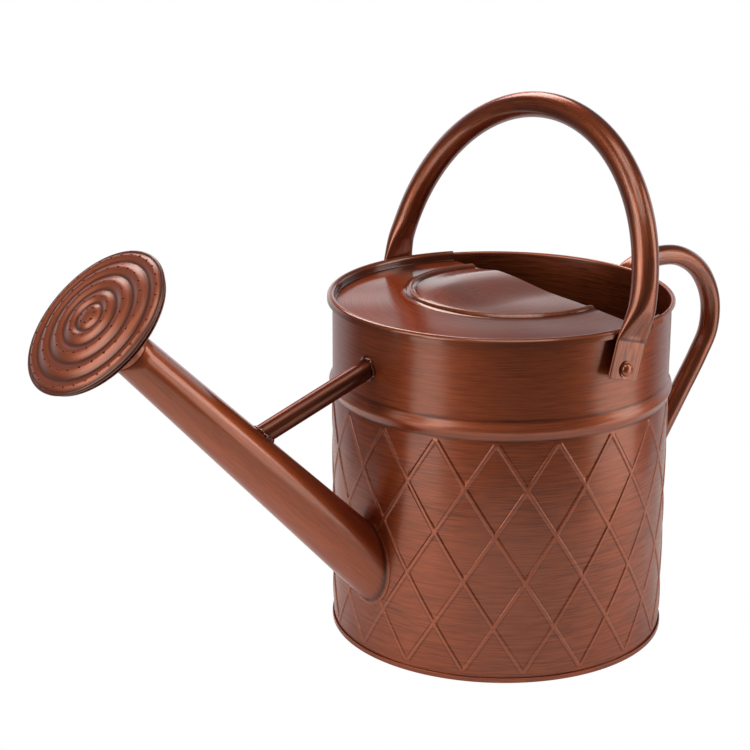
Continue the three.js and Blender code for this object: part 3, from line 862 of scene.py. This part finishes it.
# ---------- rose
def rose_height(radius):
    """Height of the rose's face over its rim plane: a dome with rounded rings."""
    crests = [ring for ring, _ in ROSE_RINGS]
    valleys = [(a + b) / 2 for a, b in zip(crests, crests[1:] + [ROSE_R - 0.2])]
    marks = [0.0] + [mark for pair in zip(crests, valleys) for mark in pair]
    levels = [1.0] + [1.0, 0.0] * (len(crests) - 1) + [1.0, 0.35]
    ring = smoothstep(np.interp(radius, marks, levels)) ** 0.8
    button = ROSE_BUTTON_UP * np.clip(1 - (np.asarray(radius) / crests[0]) ** 2, 0, 1)
    return ROSE_DOME * (1 - (radius / ROSE_R) ** 2) + ROSE_RING_UP * ring + button


def rose_profile():
    radii = np.linspace(0, ROSE_R - 1.5 * ROSE_RIM_R, 92)
    upper = [(r, ROSE_AXIAL + rose_height(r)) for r in radii]
    rim = arc((ROSE_R - ROSE_RIM_R, ROSE_AXIAL), ROSE_RIM_R, 110, -120, 12)
    lower = [(r, h - SHEET) for r, h in upper[::-1] if r < ROSE_R - 2.2 * ROSE_RIM_R]
    return upper + rim + lower


def rose_holes():
    """For each hole, a point on its axis level with the spout's root, and the hole's distance
    from the rose's middle."""
    for radius, count in ROSE_RINGS:
        for way in spokes(SPOUT_AXIS, full_turn(count)):
            yield SPOUT_START + way * radius, radius


def make_rose_face():
    profile = rose_profile()
    radii, heights = np.transpose(profile)
    relief = heights - ROSE_AXIAL - ROSE_DOME * (1 - (radii / ROSE_R) ** 2)
    wear_and_painted_light = np.clip(relief / ROSE_RING_UP, 0, 1) * 1.2 - 0.85
    wear_and_painted_light[radii > ROSE_R - 2 * ROSE_RIM_R] = -0.8
    face = add_turned("rose_disc", "rose", "rose", rose_copper, profile, 160, SPOUT_START,
                      SPOUT_AXIS, closed=False, wear_and_painted_light=wear_and_painted_light, sharp=60, stands_for=["rose_face"])
    sides = 12
    # turned a little, so that no corner falls on an edge of the face
    ring = spokes(SPOUT_AXIS, full_turn(sides) + 0.3 * 2 * math.pi / sides) * ROSE_HOLE_R
    points, faces = [], []
    for centre, _ in rose_holes():
        faces += prism_faces(sides, len(points))
        for along in (ROSE_AXIAL - 2, ROSE_AXIAL + ROSE_DOME + 4):
            points += list(centre + SPOUT_AXIS * along + ring)
    cut(face, cutter_mesh(points, faces))
    smooth_rose(face)


def smooth_rose(face):
    """Gives the punched face the normals of its turned shape, so that it stays smooth."""
    mesh = face.data
    places = np.empty(3 * len(mesh.vertices))
    mesh.vertices.foreach_get("co", places)
    off = places.reshape(-1, 3) / MM - SPOUT_START
    across = off - np.outer(off @ SPOUT_AXIS, SPOUT_AXIS)
    radius = np.linalg.norm(across, axis=1)
    step = 0.05
    slope = (rose_height(radius + step) - rose_height(np.abs(radius - step))) / (2 * step)
    turned = unit_rows(SPOUT_AXIS - across / np.maximum(radius, 1e-6)[:, None] * slope[:, None])
    loops = np.empty(len(mesh.loops), np.int32)
    mesh.loops.foreach_get("vertex_index", loops)
    own = np.array([corner.vector for corner in mesh.corner_normals])
    normals = turned[loops] * np.sign((turned[loops] * own).sum(1))[:, None]
    flat = (radius[loops] < ROSE_R - 1.6 * ROSE_RIM_R) & ((normals * own).sum(1) > 0.8)
    mesh.normals_split_custom_set(np.where(flat[:, None], normals, own).tolist())


def make_hole_lips():
    """A fine raised lip round each hole of the rose, left by the punch."""
    steps, sides = 14, 8
    lip = 0.11
    roll = full_turn(sides)[:, None]
    ring = np.concatenate([way * (ROSE_HOLE_R + 0.05 + lip * np.cos(roll))
                           + SPOUT_AXIS * lip * np.sin(roll)
                           for way in spokes(SPOUT_AXIS, full_turn(steps))])
    points, faces = [], []
    for centre, radius in rose_holes():
        faces += [tuple(len(points) + index for index in face)
                  for face in grid_faces(steps, sides, True, True)]
        points += list(centre + SPOUT_AXIS * (ROSE_AXIAL + rose_height(radius)) + ring)
    add_piece("rose_hole_lips", "rose", "rose", rose_copper, points, faces, np.array(points) / 4,
              0.7)


def make_rose_back():
    collar_r = spout_radius(SPOUT_LENGTH)
    collar_from = SPOUT_LENGTH + GAP
    collar_to = collar_from + COLLAR_LENGTH
    neck_r = collar_r - SHEET - 0.4
    socket = [(neck_r, SPOUT_LENGTH - NECK_LENGTH, 0.2), (neck_r, collar_from, 0.15),
              (collar_r, collar_from, 0.3), (collar_r, collar_to, 0.15),
              (collar_r - SHEET, collar_to, 0.15), (collar_r - SHEET, collar_from + SHEET, 0.2),
              (neck_r - SHEET, collar_from + SHEET, 0.2),
              (neck_r - SHEET, SPOUT_LENGTH - NECK_LENGTH, 0.15)]
    add_turned("rose_collar", "rose", "spout", spout_copper, rounded(socket), 112,
               SPOUT_START, SPOUT_AXIS, along=True, stands_for=["rose_socket"])
    wide_r = ROSE_R - 1.5 * ROSE_RIM_R
    wide_at = ROSE_AXIAL - 2.6
    low = collar_to + GAP
    bend = 3.0  # the funnel turns up to its edge within this
    cup = [(collar_r, low, 0.1), (collar_r + 0.5, low + 0.6, 0.4),
           (wide_r - bend, wide_at - 1.9, 1.5), (wide_r, wide_at - SHEET, 0.2),
           (wide_r, wide_at, 0.2), (wide_r - SHEET, wide_at, 0.1),
           (wide_r - bend - 0.4, wide_at - 1.3, 1.5), (collar_r - 0.1, low + 1.0, 0.4),
           (collar_r - SHEET, low, 0.1)]
    add_turned("rose_funnel", "rose", "rose", rose_copper, rounded(cup), 160,
               SPOUT_START, SPOUT_AXIS, stands_for=["rose_cup"])


# ---------- handles
def tube_section(station, angles):
    """Points round one station of a flattened tube. The flatter it is, the squarer its edges."""
    half_width = station["wide_by"]
    power = 1 - 0.62 * (1 - min(station["out"], half_width) / half_width)
    cos, sin = np.cos(angles), np.sin(angles)
    across = half_width * np.sign(cos) * np.abs(cos) ** power
    through = np.where(sin > 0, station["out"], station["in"]) * np.sign(sin) * np.abs(sin) ** power
    hollow = station["dent"] * np.clip(1 - (across / half_width / DENT_WIDE) ** 2, 0, 1) ** 2
    through -= np.where(sin > 0, hollow, 0)
    moved = np.outer(across, station["wide"]) + np.outer(through, station["thin"])
    return station["centre"] + moved


def squeezed_half_width(radius, half_thick):
    """Half width of a round tube squeezed to a half thickness: its girth stays."""
    return half_thick + math.pi / 2 * (radius - half_thick)


def add_formed_tube(name, body, material, stations, angles, carry, painted_light_and_wear_at, stands_for):
    """A solid bar through the stations with flat ends, bent and moved into place by carry."""
    round_grain = 7 / GRAIN_FINE * np.column_stack((np.cos(angles), np.sin(angles)))
    rows = []
    length, before = 0.0, stations[0]["centre"]
    for station in stations:
        length += np.linalg.norm(station["centre"] - before)
        before = station["centre"]
        along = np.full(len(angles), length / GRAIN_LONG)
        rows.append((tube_section(station, angles), np.column_stack((along, round_grain)),
                     painted_light_and_wear_at(station, angles)))

    def fan(section, *looks):
        """A flat end, about the middle of its section."""
        return np.repeat(section.mean(0)[None], len(angles), 0), *looks

    rows = [fan(*rows[0]), *rows, fan(*rows[-1])]
    points, grain, wear_and_painted_light = joined(rows, 3)
    faces = grid_faces(len(rows), len(angles), False, True)
    add_piece(name, body, "handles", material, carry(points), faces, grain, wear_and_painted_light, sharp=42,
              stands_for=stands_for)


def bail_station(y, up, along, shrink=0.0):
    """A section of the top handle at a height over its hinge. Away from the flat lug its outer
    side swells first, with a dent in its middle, and its inner side follows."""
    share = (up - LUG_UP) / (BAIL_ROUND_UP - LUG_UP)
    swelling = math.sin(math.pi / 2 * min(max(share, 0), 1)) ** 0.85
    closing = float(smoothstep(share))
    grow = BAIL_TUBE_R - LUG_HALF_THICK
    mean = LUG_HALF_THICK + grow * (swelling + closing) / 2
    dented = smoothstep(share / 0.12) * (1 - smoothstep((share - 0.12) / 0.6))
    return {
        "centre": np.array((0.0, y, up)),
        "wide": np.array((1.0, 0, 0)),
        "thin": np.array((0, along[2], -along[1]), float),
        "wide_by": squeezed_half_width(BAIL_TUBE_R, min(mean, BAIL_TUBE_R)) - shrink,
        "out": LUG_HALF_THICK + grow * swelling - shrink,
        "in": LUG_HALF_THICK + grow * closing - shrink,
        "dent": DENT_DEEP * float(dented),
        "up": up,
    }


def bail_leg_y(up):
    """How far from the can's middle plane a leg of the top handle stands at a height."""
    arch_y = math.sqrt(BAIL_ARCH_R**2 - (BAIL_BLEND_UP - BAIL_ARCH_UP) ** 2)
    blend = float(smoothstep((up - LUG_UP) / (BAIL_BLEND_UP - LUG_UP)))
    return LUG_Y + (arch_y - LUG_Y) * blend


def make_top_handle():
    leg = [(-LUG_DOWN, END_ROUND), (-LUG_DOWN + END_ROUND, 0.0)]
    leg += [(up, 0.0) for up in np.linspace(-4, LUG_UP - 0.4, 10)]
    leg += [(up, 0.0) for up in np.linspace(LUG_UP, BAIL_BLEND_UP - 1, 26)]
    stations = [bail_station(bail_leg_y(up), up, (0, 0, 1), shrink) for up, shrink in leg]
    start = math.asin((BAIL_BLEND_UP - BAIL_ARCH_UP) / BAIL_ARCH_R)
    for angle in np.linspace(start, math.pi - start, 120):
        along = (0, -math.sin(angle), math.cos(angle))
        up = BAIL_ARCH_UP + BAIL_ARCH_R * math.sin(angle)
        stations.append(bail_station(BAIL_ARCH_R * math.cos(angle), up, along))
    stations += [bail_station(-bail_leg_y(up), up, (0, 0, -1), shrink)
                 for up, shrink in leg[::-1]]

    lean = np.array(Matrix.Rotation(BAIL_TILT, 3, "Y"))

    def carry(points):
        return points @ lean.T + (0, 0, HINGE_Z)

    def painted_light_and_wear_at(station, angles):
        edge = np.abs(np.cos(angles)) ** 8 * (station["up"] < LUG_UP + 4)
        # the crease over the flat lug is painted darker: painted shade
        crease = bell(station["up"] - LUG_UP - 1.2, 1.3)
        return 0.8 * edge - 0.7 * crease

    add_formed_tube("carrying_handle", "carrying_handle", handle_copper, stations, full_turn(56),
                    carry, painted_light_and_wear_at, ["top_handle"])


def between(first, last, start, end, time):
    """Where a straight run from first to last has come at a time."""
    return ((end - time) * first + (time - start) * last) / (end - start)


def smooth_route(knots, steps):
    """A centripetal Catmull-Rom curve through knots, timed by their first two dimensions."""
    knots = np.array(knots, float)
    knots = np.vstack((2 * knots[0] - knots[1], knots, 2 * knots[-1] - knots[-2]))
    gaps = np.linalg.norm(np.diff(knots[:, :2], axis=0), axis=1)
    times = np.concatenate(([0], np.cumsum(gaps**0.5)))
    samples = []
    for i in range(1, len(knots) - 2):
        t0, t1, t2, t3 = times[i - 1:i + 3]
        p0, p1, p2, p3 = knots[i - 1:i + 3]
        for t in np.linspace(t1, t2, steps, endpoint=False):
            a1 = between(p0, p1, t0, t1, t)
            a2 = between(p1, p2, t1, t2, t)
            a3 = between(p2, p3, t2, t3, t)
            b1 = between(a1, a2, t0, t2, t)
            b2 = between(a2, a3, t1, t3, t)
            samples.append(between(b1, b2, t1, t2, t))
    samples.append(knots[-2])
    return np.array(samples)


def make_rear_handle():
    route = smooth_route(REAR_ROUTE, 12)
    headings = unit_rows(np.gradient(route[:, :2], axis=0))
    stations = []
    for k, ((back, up, roundness), (back_by, up_by)) in enumerate(zip(route, headings)):
        roundness = min(max(roundness, 0), 1)
        half = REAR_TAB_HALF_THICK + (REAR_TUBE_R - REAR_TAB_HALF_THICK) * roundness
        shrink = END_ROUND if k in (0, len(route) - 1) else 0.0
        stations.append({
            "centre": np.array((-back, 0.0, up)),
            "wide": np.array((0, 1.0, 0)),
            "thin": np.array((-up_by, 0, -back_by)),
            "wide_by": squeezed_half_width(REAR_TUBE_R, half) - shrink,
            "out": half - shrink,
            "in": half - shrink,
            "dent": 0.0,
            "flat": 1 - roundness,
        })
    angles = full_turn(48)
    flat = [station["flat"] for station in stations]
    # the flat ends add a row of points at each end
    flat = np.repeat([flat[0], *flat, flat[-1]], len(angles))

    def carry(points):
        """The flattened tabs are hollowed to lie on the round wall."""
        moved = points.copy()
        moved[:, 0] += flat * (BODY_R - np.sqrt(BODY_R**2 - points[:, 1] ** 2))
        return moved

    def painted_light_and_wear_at(station, angles):
        return 0.7 * np.abs(np.cos(angles)) ** 8 * (station["flat"] > 0.6)

    add_formed_tube("pouring_handle", "can", handle_copper, stations, angles, carry, painted_light_and_wear_at,
                    ["rear_handle"])
    for name, low, high, seed in (("upper", 168, 184, 1.0), ("lower", 16, 29, 6.0)):
        make_bead(f"rear_handle_solder_{name}", tab_outline(low, high), 0.65, 0.6, seed, "handles")


def tab_outline(low, high):
    """A closed path on the wall, round a tab of the rear handle between two heights."""
    half = squeezed_half_width(REAR_TUBE_R, REAR_TAB_HALF_THICK)
    corner_r, step, out = 1.5, 1.2, 0.5
    outline = rounded([(-half, low, corner_r), (half, low, corner_r), (half, high, corner_r),
                       (-half, high, corner_r)])
    path = []
    for here, after in zip(outline, outline[1:] + outline[:1]):
        count = max(1, int(np.linalg.norm(after - here) / step))
        path += [here + (after - here) * k / count for k in range(count)]
    return np.array([(-math.sqrt((BODY_R + out) ** 2 - y * y), y, z) for y, z in path])


# ---------- rivets and washers
def make_rivets():
    spacer, burr = node_box("handle_spacer_left"), node_box("rivet_burr_left")
    head_from = LUG_Y + LUG_HALF_THICK + GAP
    border_top = head_from + 0.45  # the head has a thin border round its dome
    dome_from = border_top - 0.2
    dome_r = RIVET_HEAD_R - 1.0
    dome_up = head_from + RIVET_HEAD_UP - dome_from
    tail_from = burr[0][1] - GAP
    tail = [(RIVET_TAIL_R * math.cos(a), tail_from - RIVET_TAIL_UP * math.sin(a))
            for a in np.radians(np.linspace(90, 0, 8))]
    shank = [(RIVET_SHANK_R, tail_from), (RIVET_SHANK_R, head_from)]
    border = [(RIVET_HEAD_R, head_from), (RIVET_HEAD_R, border_top),
              (dome_r + 0.15, dome_from - 0.05)]
    dome = [(dome_r * math.cos(a), dome_from + dome_up * math.sin(a))
            for a in np.radians(np.linspace(0, 90, 10))]
    tail[0], dome[-1] = (0, tail[0][1]), (0, dome[-1][1])
    wear_and_painted_light = [-0.2] * (len(tail) + len(shank)) + [0.3, 0.6, -1.0] + [-0.6] + [0.1] * 3 + [0.5] * 6

    def washer(low, high, outer):
        return rounded([(RIVET_HOLE_R, low, 0.15), (outer, low, 0.25), (outer, high, 0.25),
                        (RIVET_HOLE_R, high, 0.15)], 3)

    for name, side in (("left", 1), ("right", -1)):
        place = {"start": (0, 0, HINGE_Z), "axis": (0, side, 0)}
        add_turned(f"rivet_{name}", "can", "rivets", rivet_copper, tail + shank + border + dome,
                   48, closed=False, wear_and_painted_light=wear_and_painted_light, stands_for=[f"handle_rivet_{name}"], **place)
        for kind, node, (low, high) in (("spacer", "handle_spacer", spacer),
                                        ("burr", "rivet_burr", burr)):
            add_turned(f"{kind}_{name}", "can", "washers", washer_copper,
                       washer(low[1], high[1], high[0]), 40, stands_for=[f"{node}_{name}"],
                       **place)


# ---------- the can
def cut_spout_hole(wall):
    """Opens the wall into the spout."""
    sides, half_depth = 48, 34
    hole_r = spout_radius(0) - 2
    rings = turned_points([(hole_r, -half_depth), (hole_r, half_depth)], sides, SPOUT_START,
                          SPOUT_AXIS)
    cut(wall, cutter_mesh(rings, prism_faces(sides)))


wall = make_wall()
cut_spout_hole(wall)
make_base()
make_cover()
make_fold_end()
make_spout()
make_brace()
make_brace_solder()
make_rose_face()
make_hole_lips()
make_rose_back()
make_top_handle()
make_rear_handle()
make_rivets()


# ---------- studio
CAMERA_AT = (727.2, 821.9, 490.7)  # millimetres
CAMERA_FORWARD = Vector((-0.5846, -0.7538, -0.3002)).normalized()
CAMERA_LENS = 96.9

# sizes of the studio are in metres
FLOOR_R = 0.36
FLOOR_GLOW = 0.13  # light from under the paper
WALL_GLOW = 1.15
ROOM_GLOW = 0.085
WARM = (1, 0.92, 0.82)
AIM = Vector((0, 0, 0.12))  # every light points at the middle of the can
# name, azimuth, elevation, distance, width, height, watts; azimuth 0 is on the camera's side, and
# azimuth grows to the camera's right
LIGHTS = (
    ("left_box", -56, 26, 1.6, 1.0, 1.3, 14.5),
    ("left_low", -56, -17, 1.6, 0.9, 0.6, 3),
    ("right_box", 88, 24, 1.6, 0.6, 1.3, 8),
    ("right_low", 80, -18, 1.6, 1.0, 1.3, 7),
    ("top_box", 10, 72, 1.8, 1.2, 1.2, 12),
    ("back_box", -160, 42, 1.7, 0.9, 0.6, 10.5),
)


def aim(thing, location, forward):
    """Puts a camera or light in its place, facing forward."""
    thing.location = location
    thing.rotation_mode = "QUATERNION"
    thing.rotation_quaternion = forward.to_track_quat("-Z", "Y")


def make_camera():
    data = bpy.data.cameras.new("camera")
    data.lens = CAMERA_LENS
    data.sensor_width = 36
    data.clip_start, data.clip_end = 0.05, 50
    camera = make_object("camera", data)
    aim(camera, Vector(CAMERA_AT) * MM, CAMERA_FORWARD)
    bpy.context.scene.camera = camera


def make_floor():
    """A round sheet of white paper. The can mirrors it, but the picture shows pure white there."""
    mesh = bpy.data.meshes.new("floor")
    ring = [(FLOOR_R * math.cos(a), FLOOR_R * math.sin(a), 0) for a in full_turn(64)]
    mesh.from_pydata(ring, [], [tuple(range(len(ring)))])
    material = bpy.data.materials.new("floor_paper")
    nodes = Nodes(material)
    shader = nodes.tree.nodes["Principled BSDF"]
    settings = {
        "Base Color": (0.8, 0.8, 0.8, 1),
        "Roughness": 0.9,
        "Specular IOR Level": 0.1,
        "Emission Color": (1, 0.97, 0.93, 1),
        "Emission Strength": FLOOR_GLOW,
    }
    for key, value in settings.items():
        nodes.feed(shader.inputs[key], value)
    mesh.materials.append(material)
    floor = make_object("floor", mesh)
    floor.location.z = -0.0003
    floor.visible_camera = False


def make_world():
    """White for the camera. The metal sees a white wall behind the can, which ends a little above
    it, and a dim room on the camera's side."""
    world = bpy.data.worlds.new("studio")
    nodes = Nodes(world)
    place = nodes.add("ShaderNodeTexCoord").outputs["Generated"]

    def fade(direction, *limits):
        """A ramp from one share of a direction to another."""
        dot = nodes.add("ShaderNodeVectorMath", operation="DOT_PRODUCT")
        nodes.feed(dot.inputs[0], place)
        nodes.feed(dot.inputs[1], direction)
        return nodes.ramp(dot.outputs["Value"], *limits)

    behind = Vector((CAMERA_FORWARD[0], CAMERA_FORWARD[1], 0)).normalized()
    wall_glow = fade(behind, 0.35, 0.75, 0.0, WALL_GLOW)
    below_top = fade((0, 0, 1), 0.22, 0.31, 1.0, 0.1)
    above_floor = fade((0, 0, 1), -0.2, 0.05, 0.5, 1.0)
    wall_glow = nodes.times(wall_glow, nodes.times(below_top, above_floor))
    glow = nodes.maths("ADD", wall_glow, ROOM_GLOW)
    camera_ray = nodes.add("ShaderNodeLightPath").outputs["Is Camera Ray"]
    seen = nodes.add("ShaderNodeMix", data_type="FLOAT", Factor=camera_ray, A=glow, B=1.0)
    background = nodes.tree.nodes["Background"]
    nodes.feed(background.inputs["Strength"], seen.outputs["Result"])
    nodes.feed(background.inputs["Color"], (1, 1, 1, 1))
    bpy.context.scene.world = world


def add_light(name, azimuth, elevation, distance, width, height, power):
    """A soft box aimed at the can."""
    toward = math.atan2(-CAMERA_FORWARD[1], -CAMERA_FORWARD[0]) + math.radians(azimuth)
    up = math.radians(elevation)
    way = Vector((math.cos(toward) * math.cos(up), math.sin(toward) * math.cos(up), math.sin(up)))
    data = bpy.data.lights.new(name, "AREA")
    data.shape = "RECTANGLE"
    data.size, data.size_y = width, height
    data.energy = power
    data.color = WARM
    aim(make_object(name, data), AIM + way * distance, -way)


make_camera()
make_floor()
make_world()
for light in LIGHTS:
    add_light(*light)
bpy.context.scene.view_settings.view_transform = "Standard"
